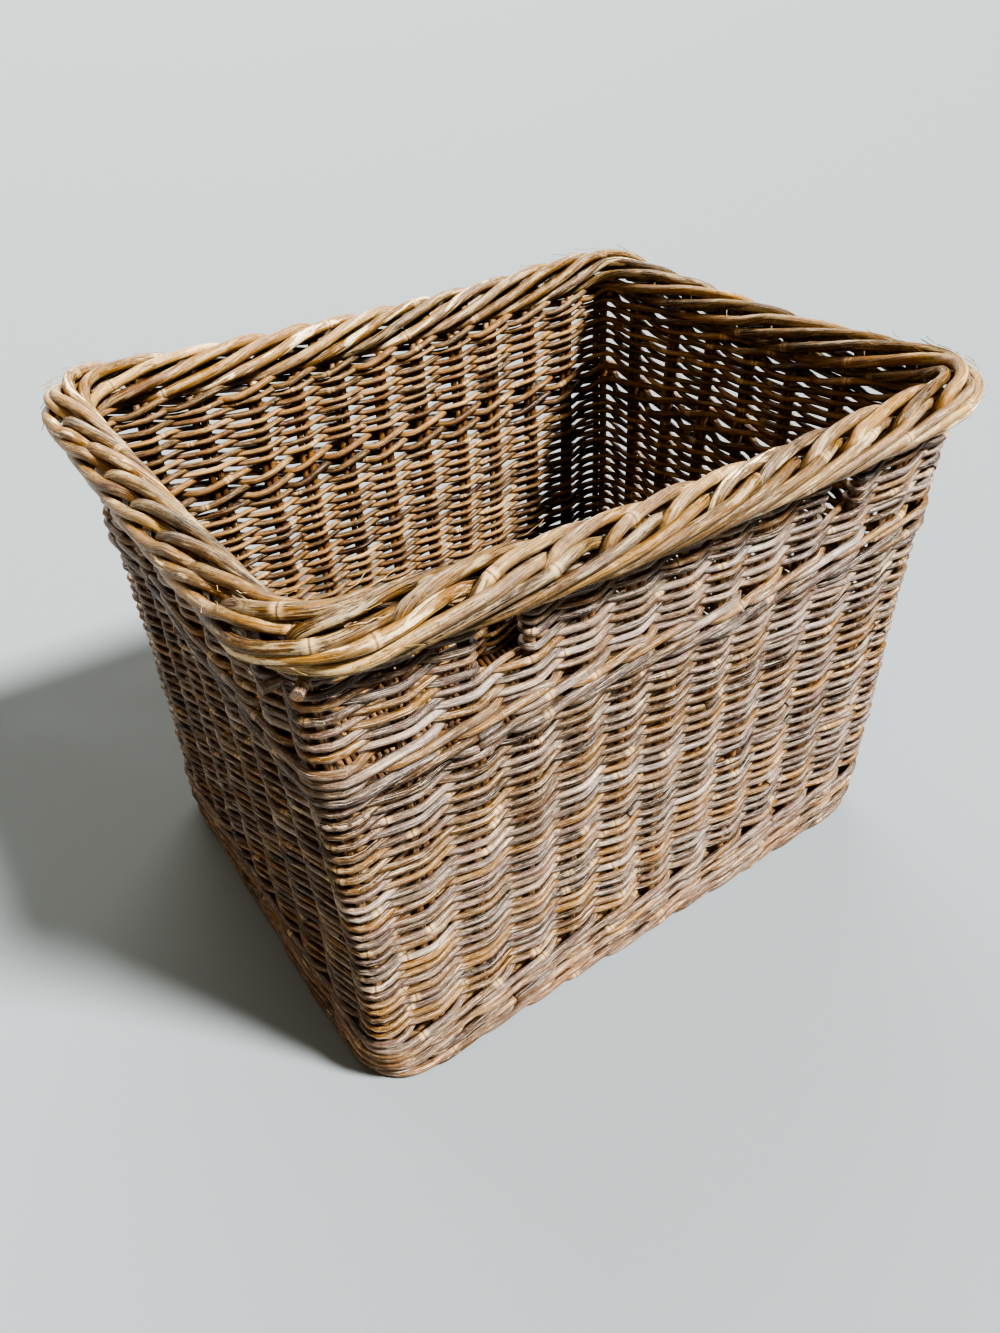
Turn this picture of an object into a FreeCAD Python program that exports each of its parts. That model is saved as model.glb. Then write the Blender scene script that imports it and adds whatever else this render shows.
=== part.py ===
import FreeCAD, Part
import math
import os
import Sketcher

# A rectangular log basket woven from rattan rods, in millimetres.
# The origin is the middle of the footprint on the ground. +X runs along the long
# walls, +Y from the front wall (the one with the two strap holes) to the back, +Z up.
#
# Each wall is modelled in a frame of its own, with the wall along local X and its
# outside towards local -Y, and is then turned about Z to its side of the basket.
# Weaver strands run straight past the stakes, one strand outside and one inside,
# and stop at the corner diagonals, where the next wall's strands take over.

DIMENSIONS = [
    ("half_length", 319, "middle to the stakes of a short wall"),
    ("half_width", 243, "middle to the stakes of a long wall"),
    ("corner_radius", 24, "plan radius of the stake line at a corner"),
    ("corner_sweep", 44.4, "degrees of corner arc at each end of a strand"),
    ("clearance", 0.3, "air between neighbouring rods"),
    ("stake_diameter", 9, "upright stakes"),
    ("bye_stake_diameter", 8, "second upright pushed in beside each stake"),
    ("stake_foot", 6, "height where the stakes start"),
    ("stake_top", 484, "height where the stakes meet the border"),
    ("bye_stake_foot", 48, "height where the bye-stakes start"),
    ("long_stake_count", 13, "stakes in a long wall"),
    ("long_stake_pitch", 49, "spacing of the stakes in a long wall"),
    ("short_stake_count", 9, "stakes in a short wall"),
    ("short_stake_pitch", 54.75, "spacing of the stakes in a short wall"),
    ("foot_diameter", 12, "foot strands"),
    ("foot_height", 5.6, "axis of the lowest foot strand, worn flat where it rests"),
    ("foot_pitch", 12.3, "rise from one foot strand to the next"),
    ("foot_rows", 3, "foot strands on each face of a wall"),
    ("wale_diameter", 9, "wale strands"),
    ("wale_pitch", 9.3, "rise from one wale strand to the next"),
    ("upset_height", 42, "axis of the lowest strand of the wale above the foot"),
    ("upset_rows", 5, "strands in that wale"),
    ("weaver_diameter", 8, "plain weaver strands"),
    ("weaver_pitch", 11.4, "rise from one weaver row to the next"),
    ("lower_height", 90, "axis of the lowest row of the lower field"),
    ("lower_rows", 24, "rows in the lower field"),
    ("middle_height", 365, "axis of the lowest strand of the middle wale"),
    ("middle_rows", 4, "strands in the middle wale"),
    ("upper_height", 405, "axis of the lowest row of the upper field"),
    ("upper_rows", 6, "rows in the upper field"),
    ("top_wale_height", 473.2, "axis of the wale strand under the border"),
    ("top_wale_rows", 1, "strands in that wale"),
    ("hole_bay", 171.5, "middle of the wall to the middle of a strap hole"),
    ("hole_rows", 3, "weaver rows turned back at a strap hole"),
    ("wrap_diameter", 6, "turned-back ends round the stakes beside a strap hole"),
    ("rim_half_length", 331, "middle to the border's axis over a short wall"),
    ("rim_half_width", 255, "middle to the border's axis over a long wall"),
    ("rim_radius", 49, "plan radius of the border's axis at a corner"),
    ("rim_height", 499, "border's axis at the middle of a wall"),
    ("rim_lift", 12, "how much higher the border's axis is at the corners"),
    ("border_diameter", 13, "border rods"),
    ("border_pitch", 13.3, "spacing of the rods in the border's roll"),
    ("border_gap", 2, "air between the border over a wall and its corner pieces"),
    ("base_stick_diameter", 12, "lengthwise base sticks"),
    ("base_stick_count", 9, "lengthwise base sticks"),
    ("base_stick_pitch", 52.5, "spacing of the base sticks"),
    ("base_stick_reach", 301, "middle to the ends of the base sticks"),
    ("base_height", 24, "axis of the base sticks"),
    ("base_weaver_diameter", 10, "crosswise rods above and below the base sticks"),
    ("base_weaver_count", 58, "crosswise rods on each face of the base"),
    ("base_weaver_pitch", 10.35, "spacing of the crosswise base rods"),
    ("base_weaver_reach", 225, "middle to the ends of the crosswise base rods"),
]

# Each side: how far its wall is turned about Z, and whether it is a long wall.
SIDES = {
    "front": (0, True),
    "right": (90, False),
    "back": (180, True),
    "left": (270, False),
}

document = FreeCAD.newDocument("log_basket")
sheet = document.addObject("Spreadsheet::Sheet", "Dimensions")
bodies = []


def fill_sheet():
    """Write the driving dimensions, their aliases and what they mean."""
    for row, (alias, number, meaning) in enumerate(DIMENSIONS, start=1):
        sheet.set(f"A{row}", alias)
        sheet.set(f"B{row}", str(number))
        sheet.set(f"C{row}", meaning)
        sheet.setAlias(f"B{row}", alias)
    document.recompute()


def value(expression):
    """Return what an expression over the sheet is worth now."""
    return float(sheet.evalExpression(expression))


def new_body(label, turn=0):
    """Start one sub-part, turned about Z to its side of the basket."""
    body = document.addObject("PartDesign::Body", label)
    body.Label = label
    body.AllowCompound = True
    body.Placement.Rotation = FreeCAD.Rotation(FreeCAD.Vector(0, 0, 1), turn)
    bodies.append(body)
    return body


def origin_feature(body, role):
    """Find one of the body's own origin planes or axes."""
    return next(item for item in body.Origin.OriginFeatures if item.Role == role)


def sketch_on(body, role, lift="0"):
    """Start a sketch parallel to an origin plane, at a height along its normal."""
    sketch = body.newObject("Sketcher::SketchObject", "Sketch")
    sketch.AttachmentSupport = [(origin_feature(body, role), "")]
    sketch.MapMode = "FlatFace"
    sketch.setExpression("AttachmentOffset.Base.z", lift)
    return sketch


def bind(sketch, name, constraint, expression):
    """Add a constraint, name it and tie it to the sheet."""
    index = sketch.addConstraint(constraint)
    sketch.renameConstraint(index, name)
    sketch.setExpression(f"Constraints.{name}", expression)


def place_centre(sketch, index, across, up):
    """Tie the centre of a circle or arc to the sketch's origin."""
    bind(sketch, f"across{index}", Sketcher.Constraint("DistanceX", -1, 1, index, 3, value(across)), across)
    bind(sketch, f"up{index}", Sketcher.Constraint("DistanceY", -1, 1, index, 3, value(up)), up)


def add_circle(sketch, across, up, diameter):
    """Draw a circle at (across, up) in the sketch, each given as an expression."""
    centre = FreeCAD.Vector(value(across), value(up), 0)
    radius = value(f"{diameter} / 2")
    index = sketch.addGeometry(Part.Circle(centre, FreeCAD.Vector(0, 0, 1), radius), False)
    place_centre(sketch, index, across, up)
    bind(sketch, f"diameter{index}", Sketcher.Constraint("Diameter", index, 2 * radius), diameter)


def wall_sizes(long_wall):
    """Return the straight run and the distance out of a wall's stake line."""
    if long_wall:
        return "Dimensions.half_length - Dimensions.corner_radius", "Dimensions.half_width"
    return "Dimensions.half_width - Dimensions.corner_radius", "Dimensions.half_length"


def strand_path(body, long_wall, height):
    """Draw a wall's stake line in plan: a straight run with an eighth of a turn at each end."""
    run, distance = wall_sizes(long_wall)
    radius = value("Dimensions.corner_radius")
    sweep = math.radians(value("Dimensions.corner_sweep"))
    half_run = value(run)
    line_y = -value(distance)
    axis = FreeCAD.Vector(0, 0, 1)
    quarter = 1.5 * math.pi
    left_circle = Part.Circle(FreeCAD.Vector(-half_run, line_y + radius, 0), axis, radius)
    right_circle = Part.Circle(FreeCAD.Vector(half_run, line_y + radius, 0), axis, radius)
    path = sketch_on(body, "XY_Plane", height)
    path.addGeometry([
        Part.ArcOfCircle(left_circle, quarter - sweep, quarter),
        Part.LineSegment(FreeCAD.Vector(-half_run, line_y, 0), FreeCAD.Vector(half_run, line_y, 0)),
        Part.ArcOfCircle(right_circle, quarter, quarter + sweep),
    ], False)
    path.addConstraint([
        Sketcher.Constraint("Tangent", 0, 2, 1, 1),
        Sketcher.Constraint("Tangent", 1, 2, 2, 1),
        Sketcher.Constraint("Symmetric", 1, 1, 1, 2, -2),
        Sketcher.Constraint("Equal", 0, 2),
    ])
    bind(path, "straight_run", Sketcher.Constraint("DistanceX", 1, 1, 1, 2, 2 * half_run), f"2 * ({run})")
    bind(path, "distance", Sketcher.Constraint("DistanceY", 1, 1, -1, 1, -line_y), distance)
    bind(path, "radius", Sketcher.Constraint("Radius", 0, radius), "Dimensions.corner_radius")
    bind(path, "left_sweep", Sketcher.Constraint("Angle", 0, sweep), "Dimensions.corner_sweep * 1 deg")
    bind(path, "right_sweep", Sketcher.Constraint("Angle", 2, sweep), "Dimensions.corner_sweep * 1 deg")
    return path, ["Edge1", "Edge2", "Edge3"]


def add_rod(body, path, edges, out, up, diameter):
    """Sweep one rod beside a path, shifted outwards and upwards from it."""
    profile = body.newObject("Sketcher::SketchObject", "Section")
    profile.AttachmentSupport = [(path, edges[0])]
    profile.MapMode = "NormalToEdge"
    add_circle(profile, out, up, diameter)
    rod = body.newObject("PartDesign::AdditivePipe", "Rod")
    rod.Profile = profile
    rod.Spine = (path, edges)
    document.recompute()
    return rod


def repeat(body, features, role, count, pitch):
    """Repeat features along one of the body's axes."""
    pattern = body.newObject("PartDesign::LinearPattern", "Pattern")
    pattern.Originals = features
    pattern.Direction = (origin_feature(body, role), [""])
    pattern.setExpression("Occurrences", count)
    pattern.setExpression("Length", f"({count} - 1) * {pitch}")
    body.Tip = pattern
    document.recompute()


def make_strands(side, name, faces, diameter, height, count, pitch):
    """Weave one band of a wall as parallel strands on the given faces of its stakes."""
    turn, long_wall = SIDES[side]
    body = new_body(f"{side}_{name}", turn)
    path, edges = strand_path(body, long_wall, height)
    rods = []
    for face in faces:
        sign = "" if face == "outer" else "-"
        out = f"{sign}((Dimensions.stake_diameter + {diameter}) / 2 + Dimensions.clearance)"
        rods.append(add_rod(body, path, edges, out, "0", diameter))
    repeat(body, rods, "Z_Axis", count, pitch)
    return body


def make_uprights(side, name, diameter, foot, count, shift):
    """Stand a row of uprights along a wall, the first one shifted from the first stake's place."""
    turn, long_wall = SIDES[side]
    kind = "long" if long_wall else "short"
    pitch = f"Dimensions.{kind}_stake_pitch"
    first = f"-(Dimensions.{kind}_stake_count - 1) / 2 * {pitch}"
    distance = wall_sizes(long_wall)[1]
    body = new_body(f"{side}_{name}", turn)
    section = sketch_on(body, "XY_Plane", foot)
    add_circle(section, f"{first} + {shift}", f"-{distance}", diameter)
    upright = body.newObject("PartDesign::Pad", "Upright")
    upright.Profile = section
    upright.setExpression("Length", f"Dimensions.stake_top - {foot}")
    document.recompute()
    repeat(body, [upright], "X_Axis", count, pitch)
    return body


def make_corner_stakes():
    """Stand one stake on the diagonal of each corner."""
    body = new_body("corner_stakes")
    section = sketch_on(body, "XY_Plane", "Dimensions.stake_foot")
    inset = "Dimensions.corner_radius * (1 - sqrt(0.5))"
    for x_sign in ("", "-"):
        for y_sign in ("", "-"):
            across = f"{x_sign}(Dimensions.half_length - {inset})"
            up = f"{y_sign}(Dimensions.half_width - {inset})"
            add_circle(section, across, up, "Dimensions.stake_diameter")
    upright = body.newObject("PartDesign::Pad", "Upright")
    upright.Profile = section
    reach = "Dimensions.stake_top + Dimensions.rim_lift / 2 - Dimensions.stake_foot"
    upright.setExpression("Length", reach)


def cut_boxes(body, role, boxes, depth):
    """Cut rectangles (left, right, bottom, top) through a body, both ways from a plane."""
    section = sketch_on(body, role)
    for left, right, bottom, top in boxes:
        corners = [(left, bottom), (right, bottom), (right, top), (left, top)]
        points = [FreeCAD.Vector(value(x), value(y), 0) for x, y in corners]
        first = section.GeometryCount
        for start in range(4):
            section.addGeometry(Part.LineSegment(points[start], points[(start + 1) % 4]), False)
        for start in range(4):
            edge = first + start
            following = first + (start + 1) % 4
            section.addConstraint(Sketcher.Constraint("Coincident", edge, 2, following, 1))
            section.addConstraint(Sketcher.Constraint("Vertical" if start % 2 else "Horizontal", edge))
        places = [
            ("left", "DistanceX", first, left, points[0].x),
            ("right", "DistanceX", first + 2, right, points[2].x),
            ("bottom", "DistanceY", first, bottom, points[0].y),
            ("top", "DistanceY", first + 2, top, points[2].y),
        ]
        for name, kind, edge, expression, now in places:
            bind(section, f"{name}{first}", Sketcher.Constraint(kind, -1, 1, edge, 1, now), expression)
    cut = body.newObject("PartDesign::Pocket", "Cut")
    cut.Profile = section
    cut.Type = "Length"
    cut.Midplane = True
    cut.setExpression("Length", depth)
    document.recompute()
    before = cut.BaseFeature.Shape.Volume
    assert cut.Shape.Volume < before - 1, f"{body.Label}: the cut removed nothing"


def hole_span():
    """Return the bottom and top of the strap holes, midway between weaver rows."""
    top = "Dimensions.upper_height + (Dimensions.upper_rows - 0.5) * Dimensions.weaver_pitch"
    bottom = f"{top} - Dimensions.hole_rows * Dimensions.weaver_pitch"
    return bottom, top


def cut_strap_holes(body):
    """Take the strap holes' whole bays out of the front wall's upper strands."""
    bottom, top = hole_span()
    near = "Dimensions.hole_bay - Dimensions.long_stake_pitch / 2"
    far = "Dimensions.hole_bay + Dimensions.long_stake_pitch / 2"
    boxes = [(f"-({far})", f"-({near})", bottom, top), (near, far, bottom, top)]
    cut_boxes(body, "XZ_Plane", boxes, "4 * Dimensions.half_width")


def shorten_bye_stakes(body):
    """Stop the bye-stake that would stand in each strap hole below that hole."""
    bottom = hole_span()[0]
    top = "Dimensions.stake_top + 1"
    width = "Dimensions.stake_diameter / 2 + Dimensions.bye_stake_diameter + 2 * Dimensions.clearance"
    left_start = "-Dimensions.hole_bay - Dimensions.long_stake_pitch / 2"
    right_start = "Dimensions.hole_bay - Dimensions.long_stake_pitch / 2"
    boxes = [(place, f"{place} + {width}", bottom, top) for place in (left_start, right_start)]
    cut_boxes(body, "XZ_Plane", boxes, "4 * Dimensions.half_width")


def wear_flat(body):
    """Wear the lowest foot strand flat where the basket rests on the ground."""
    reach = "2 * Dimensions.half_length"
    depth = "-Dimensions.foot_diameter"
    cut_boxes(body, "XZ_Plane", [(f"-{reach}", reach, depth, "0")], "4 * Dimensions.half_length")


def make_hole_wraps():
    """Turn the weaver ends back round the stakes on both sides of each strap hole."""
    body = new_body("strap_hole_wraps")
    radius = "(Dimensions.stake_diameter + Dimensions.wrap_diameter) / 2 + Dimensions.clearance"
    rows_below = "(Dimensions.upper_rows - Dimensions.hole_rows)"
    height = f"Dimensions.upper_height + {rows_below} * Dimensions.weaver_pitch"
    wraps = []
    for flank, start_angle in (("-", 1.5 * math.pi), ("+", 0.5 * math.pi)):
        across = f"Dimensions.hole_bay {flank} Dimensions.long_stake_pitch / 2"
        path = sketch_on(body, "XY_Plane", height)
        centre = FreeCAD.Vector(value(across), -value("Dimensions.half_width"), 0)
        circle = Part.Circle(centre, FreeCAD.Vector(0, 0, 1), value(radius))
        path.addGeometry(Part.ArcOfCircle(circle, start_angle, start_angle + math.pi), False)
        place_centre(path, 0, across, "-Dimensions.half_width")
        bind(path, "radius", Sketcher.Constraint("Radius", 0, value(radius)), radius)
        path.addConstraint(Sketcher.Constraint("Vertical", 0, 1, 0, 3))
        path.addConstraint(Sketcher.Constraint("Vertical", 0, 2, 0, 3))
        wraps.append(add_rod(body, path, ["Edge1"], "0", "0", "Dimensions.wrap_diameter"))
    both_holes = body.newObject("PartDesign::MultiTransform", "Copies")
    both_holes.Originals = wraps
    mirror = body.newObject("PartDesign::Mirrored", "OtherHole")
    mirror.MirrorPlane = (origin_feature(body, "YZ_Plane"), [""])
    rows = body.newObject("PartDesign::LinearPattern", "Rows")
    rows.Direction = (origin_feature(body, "Z_Axis"), [""])
    rows.setExpression("Occurrences", "Dimensions.hole_rows")
    rows.setExpression("Length", "(Dimensions.hole_rows - 1) * Dimensions.weaver_pitch")
    both_holes.Transformations = [mirror, rows]
    body.Tip = both_holes
    document.recompute()


def border_places(part):
    """Return the border rods of one half of the roll, as shifts (out, up) from its axis."""
    across = "Dimensions.border_pitch * cos(30 deg)"
    half = "Dimensions.border_pitch / 2"
    full = "Dimensions.border_pitch"
    if part == "outer":
        return [(across, half), (across, f"-{half}"), ("0", f"-{full}")]
    return [(f"-{across}", half), (f"-{across}", f"-{half}"), ("0", full), ("0", "0")]


def border_path(body, long_wall):
    """Draw the border's axis over one wall: a shallow arc, lowest in the middle."""
    half_run = "Dimensions.rim_half_length - Dimensions.rim_radius"
    distance = "Dimensions.rim_half_width"
    if not long_wall:
        half_run = "Dimensions.rim_half_width - Dimensions.rim_radius"
        distance = "Dimensions.rim_half_length"
    clear_run = f"({half_run} - Dimensions.border_gap)"
    reach = value(clear_run)
    low = value("Dimensions.rim_height")
    high = low + value("Dimensions.rim_lift")
    path = sketch_on(body, "XZ_Plane", distance)
    ends = FreeCAD.Vector(-reach, high, 0), FreeCAD.Vector(0, low, 0), FreeCAD.Vector(reach, high, 0)
    path.addGeometry(Part.Arc(*ends), False)
    path.addGeometry(Part.Point(FreeCAD.Vector(0, low, 0)), True)
    path.addConstraint([
        Sketcher.Constraint("PointOnObject", 0, 3, -2),
        Sketcher.Constraint("Horizontal", 0, 1, 0, 2),
        Sketcher.Constraint("PointOnObject", 1, 1, 0),
        Sketcher.Constraint("PointOnObject", 1, 1, -2),
    ])
    bind(path, "run", Sketcher.Constraint("DistanceX", 0, 1, 0, 2, 2 * reach), f"2 * {clear_run}")
    bind(path, "low", Sketcher.Constraint("DistanceY", -1, 1, 1, 1, low), "Dimensions.rim_height")
    bind(path, "lift", Sketcher.Constraint("DistanceY", 1, 1, 0, 1, high - low), "Dimensions.rim_lift")
    return path


def make_border(side, part):
    """Lay one part of the border's roll over a wall."""
    turn, long_wall = SIDES[side]
    body = new_body(f"{side}_border_{part}", turn)
    path = border_path(body, long_wall)
    for out, up in border_places(part):
        add_rod(body, path, ["Edge1"], out, up, "Dimensions.border_diameter")


def make_border_corners():
    """Bend the border's rods round the four corners."""
    body = new_body("border_corners")
    centre_x = "(Dimensions.rim_half_length - Dimensions.rim_radius)"
    centre_y = "(Dimensions.rim_half_width - Dimensions.rim_radius)"
    radius = value("Dimensions.rim_radius")
    for x_sign, y_sign in ((1, 1), (-1, 1), (-1, -1), (1, -1)):
        centre = FreeCAD.Vector(x_sign * value(centre_x), y_sign * value(centre_y), 0)
        middle = math.atan2(y_sign, x_sign)
        circle = Part.Circle(centre, FreeCAD.Vector(0, 0, 1), radius)
        path = sketch_on(body, "XY_Plane", "Dimensions.rim_height + Dimensions.rim_lift")
        path.addGeometry(Part.ArcOfCircle(circle, middle - math.pi / 4, middle + math.pi / 4), False)
        place_centre(path, 0, f"{x_sign} * {centre_x}", f"{y_sign} * {centre_y}")
        bind(path, "radius", Sketcher.Constraint("Radius", 0, radius), "Dimensions.rim_radius")
        ends = ("Horizontal", "Vertical") if x_sign == y_sign else ("Vertical", "Horizontal")
        for end, direction in enumerate(ends, start=1):
            path.addConstraint(Sketcher.Constraint(direction, 0, end, 0, 3))
        for part in ("outer", "inner"):
            for out, up in border_places(part):
                add_rod(body, path, ["Edge1"], out, up, "Dimensions.border_diameter")


def make_base_sticks():
    """Lay the thick sticks along the length of the base."""
    body = new_body("base_sticks")
    section = sketch_on(body, "YZ_Plane")
    first = "-(Dimensions.base_stick_count - 1) / 2 * Dimensions.base_stick_pitch"
    add_circle(section, first, "Dimensions.base_height", "Dimensions.base_stick_diameter")
    stick = body.newObject("PartDesign::Pad", "Stick")
    stick.Profile = section
    stick.Midplane = True
    stick.setExpression("Length", "2 * Dimensions.base_stick_reach")
    document.recompute()
    repeat(body, [stick], "Y_Axis", "Dimensions.base_stick_count", "Dimensions.base_stick_pitch")


def make_base_weavers():
    """Lay the crosswise rods above and below the base sticks."""
    body = new_body("base_weavers")
    first = "-(Dimensions.base_weaver_count - 1) / 2 * Dimensions.base_weaver_pitch"
    diameter = "Dimensions.base_weaver_diameter"
    apart = f"((Dimensions.base_stick_diameter + {diameter}) / 2 + Dimensions.clearance)"
    section = sketch_on(body, "XZ_Plane")
    for sign in ("+", "-"):
        add_circle(section, first, f"Dimensions.base_height {sign} {apart}", diameter)
    weaver = body.newObject("PartDesign::Pad", "Weaver")
    weaver.Profile = section
    weaver.Midplane = True
    weaver.setExpression("Length", "2 * Dimensions.base_weaver_reach")
    document.recompute()
    repeat(body, [weaver], "X_Axis", "Dimensions.base_weaver_count", "Dimensions.base_weaver_pitch")


def make_wall(side):
    """Make the uprights, strands and border of one wall."""
    both = ("outer", "inner")
    stake_count = "Dimensions.long_stake_count" if SIDES[side][1] else "Dimensions.short_stake_count"
    beside = "(Dimensions.stake_diameter + Dimensions.bye_stake_diameter) / 2 + Dimensions.clearance"
    make_uprights(side, "stakes", "Dimensions.stake_diameter", "Dimensions.stake_foot", stake_count, "0")
    bye_stakes = make_uprights(side, "bye_stakes", "Dimensions.bye_stake_diameter",
                               "Dimensions.bye_stake_foot", f"({stake_count} - 1)", beside)
    foot = make_strands(side, "foot_rods", both, "Dimensions.foot_diameter",
                        "Dimensions.foot_height", "Dimensions.foot_rows", "Dimensions.foot_pitch")
    wear_flat(foot)
    make_strands(side, "upset_wale", both, "Dimensions.wale_diameter",
                 "Dimensions.upset_height", "Dimensions.upset_rows", "Dimensions.wale_pitch")
    for face in both:
        make_strands(side, f"lower_weave_{face}", [face], "Dimensions.weaver_diameter",
                     "Dimensions.lower_height", "Dimensions.lower_rows", "Dimensions.weaver_pitch")
        upper = make_strands(side, f"upper_weave_{face}", [face], "Dimensions.weaver_diameter",
                             "Dimensions.upper_height", "Dimensions.upper_rows", "Dimensions.weaver_pitch")
        if side == "front":
            cut_strap_holes(upper)
    make_strands(side, "middle_wale", both, "Dimensions.wale_diameter",
                 "Dimensions.middle_height", "Dimensions.middle_rows", "Dimensions.wale_pitch")
    make_strands(side, "top_wale", both, "Dimensions.wale_diameter",
                 "Dimensions.top_wale_height", "Dimensions.top_wale_rows", "Dimensions.wale_pitch")
    for part in both:
        make_border(side, part)
    if side == "front":
        shorten_bye_stakes(bye_stakes)


def check_model():
    """Stop if the document holds a failed object or a sub-part with no sound shape."""
    document.recompute()
    for item in document.Objects:
        assert "Invalid" not in item.State and "Error" not in item.State, f"{item.Label} failed"
    for body in bodies:
        assert not body.Shape.isNull(), f"{body.Label} is empty"
        assert body.Shape.isValid(), f"{body.Label} isn't valid"


def write_parts():
    """Write each sub-part's solids to a file of its own."""
    os.makedirs("parts", exist_ok=True)
    for body in bodies:
        body.Shape.exportStep(f"parts/{body.Label}.step")
        print(f"{body.Label}: {len(body.Shape.Solids)} solids, {body.Shape.Volume / 1000:.0f} cm3")


fill_sheet()
for wall_side in SIDES:
    make_wall(wall_side)
make_corner_stakes()
make_border_corners()
make_hole_wraps()
make_base_sticks()
make_base_weavers()
check_model()
write_parts()
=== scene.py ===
import math

import bpy
import numpy as np
from mathutils import Matrix, Vector


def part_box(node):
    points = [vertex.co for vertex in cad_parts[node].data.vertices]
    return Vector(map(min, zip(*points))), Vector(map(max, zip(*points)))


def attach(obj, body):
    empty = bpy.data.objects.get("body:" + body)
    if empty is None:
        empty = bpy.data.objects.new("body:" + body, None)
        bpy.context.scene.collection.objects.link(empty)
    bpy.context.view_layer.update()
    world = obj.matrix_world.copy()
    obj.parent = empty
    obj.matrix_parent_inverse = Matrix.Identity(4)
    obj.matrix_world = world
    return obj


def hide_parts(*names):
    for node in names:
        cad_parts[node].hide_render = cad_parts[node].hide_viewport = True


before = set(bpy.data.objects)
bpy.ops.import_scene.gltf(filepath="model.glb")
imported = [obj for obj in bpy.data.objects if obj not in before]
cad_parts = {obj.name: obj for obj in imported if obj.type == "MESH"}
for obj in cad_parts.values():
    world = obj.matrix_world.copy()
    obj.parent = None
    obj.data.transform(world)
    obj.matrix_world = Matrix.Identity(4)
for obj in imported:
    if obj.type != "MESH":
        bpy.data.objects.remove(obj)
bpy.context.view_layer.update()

# A rectangular log basket of woven rattan. Every rod is a tube swept along its own path.
# Paths are written in wall coordinates: how far round the basket (in stakes, counted
# anticlockwise from the left end of the front wall), how far out from the stake line,
# and how high. Lengths are in metres.

MM = 0.001

# The walls in the order of the stakes, and how many stakes each has between its corners.
WALLS = ("front", "right", "back", "left")
LONG_STAKES = 11
SHORT_STAKES = 7
WALL_STAKES = tuple(zip(WALLS, 2 * (LONG_STAKES, SHORT_STAKES)))
STAKES = 2 * (LONG_STAKES + SHORT_STAKES) + 4
RIGHT_CORNER = LONG_STAKES
BACK_CORNER = RIGHT_CORNER + SHORT_STAKES + 1
LEFT_CORNER = BACK_CORNER + LONG_STAKES + 1
NEAR_CORNER = STAKES - 1

# Radii of the rods.
STAKE_RADIUS = 4.4 * MM
BYE_STAKE_RADIUS = 3.8 * MM
WEAVER_RADIUS = 2.95 * MM
WALE_RADIUS = 3.75 * MM
FOOT_RADIUS = 4.1 * MM
BORDER_RADIUS = 5.25 * MM
BASE_STICK_RADIUS = 5.6 * MM
BASE_WEAVER_RADIUS = 4.3 * MM
FIBRE_RADIUS = 0.28 * MM

# Ends of the uprights, and how far each of a pair stands from their place. At a corner that
# is counted in stakes.
STAKE_FOOT = 5 * MM
STAKE_TOP = 477 * MM
CORNER_STAKE_TOP = 482 * MM
SHORT_BYE_STAKE_TOP = 424 * MM
STAKE_SPREAD = 4.3 * MM
CORNER_SPREAD = 0.085

# Bands of weaving: the number of rows, the first row's height and the rise to the next.
FOOT_ROWS = (2, 10.6 * MM, 17 * MM)
UPSET_ROWS = (2, 43.5 * MM, 15.5 * MM)
LOWER_ROWS = (25, 76 * MM, 11.5 * MM)
MIDDLE_ROWS = (2, 367.5 * MM, 16.5 * MM)
UPPER_ROWS = (7, 400.5 * MM, 10.6 * MM)
TOP_WALE_ROWS = (1, 475 * MM, 0)

# How far weavers swing out from the stake line, how far waling rods climb, the most stakes
# that one weaver passes, and the points along a weaver from one stake to the next.
PAIRING_SWING = 7.8 * MM
PAIRING_RISE = 2.9 * MM
WALE_SWING = 8.2 * MM
WALE_CLIMB = 12 * MM
LONGEST_WEAVER = 34
STEPS_PER_STAKE = 8

# Strap holes: the stake left of each, the rows they break, and how weavers turn back there.
LEFT_HOLE = 1
RIGHT_HOLE = 8
HOLE_ROWS = 4
HOLE_TURN = 6 * MM
STAKE_CLEARANCE = 7.4 * MM

# Cut weaver ends, frayed fibres, and the base.
CUT_ENDS = 26
FIBRES_PER_CORNER = 26
BASE_STICKS = 9
BASE_ROWS = 62
BASE_EDGE = 6 * MM

# How the walls depart from plumb, at the foot, at the rim and half way up, and the extra
# rounding of their corners at the foot with the height over which it fades.
FOOT_LEAN = -3 * MM
RIM_LEAN = 3 * MM
WAIST = 4 * MM
CORNER_RADIUS = 20 * MM
FOOT_ROUNDING = 38 * MM
FOOT_FADE = 36 * MM

# The stake line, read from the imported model.
front_low, front_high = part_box("front_stakes")
right_low, right_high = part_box("right_stakes")
HALF_WIDTH = -(front_low.y + front_high.y) / 2
HALF_LENGTH = (right_low.x + right_high.x) / 2

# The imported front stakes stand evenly. Here only the gaps in the middle of a wall keep that
# spacing, this many to each side of the middle, and those towards the corners are wider.
PACKED_GAPS = 12
MIDDLE_PITCH = (front_high.x - front_low.x - (front_high.y - front_low.y)) / PACKED_GAPS
EVEN_GAPS = 3

# The border's roll: its reach past its axis, the bend and rise of the axis at the corners,
# the height of the axis, and the distance between its rods.
RIM_REACH = 18 * MM
rim_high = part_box("border_corners")[1]
RIM_HALF_LENGTH = rim_high.x - RIM_REACH
RIM_HALF_WIDTH = rim_high.y - RIM_REACH
RIM_RADIUS = 49 * MM
RIM_HEIGHT = 499 * MM
RIM_LIFT = 12 * MM
BORDER_PITCH = 49 * MM


def smooth(x):
    """Ease from 0 to 1 as x goes from 0 to 1."""
    x = np.clip(x, 0, 1)
    return x * x * (3 - 2 * x)


def wall_lengths(half_length, half_width, radius):
    """Return the way from the middle of a long and a short wall to the middle of a corner."""
    bend = radius * math.pi / 4
    return half_length - radius + bend, half_width - radius + bend


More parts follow.
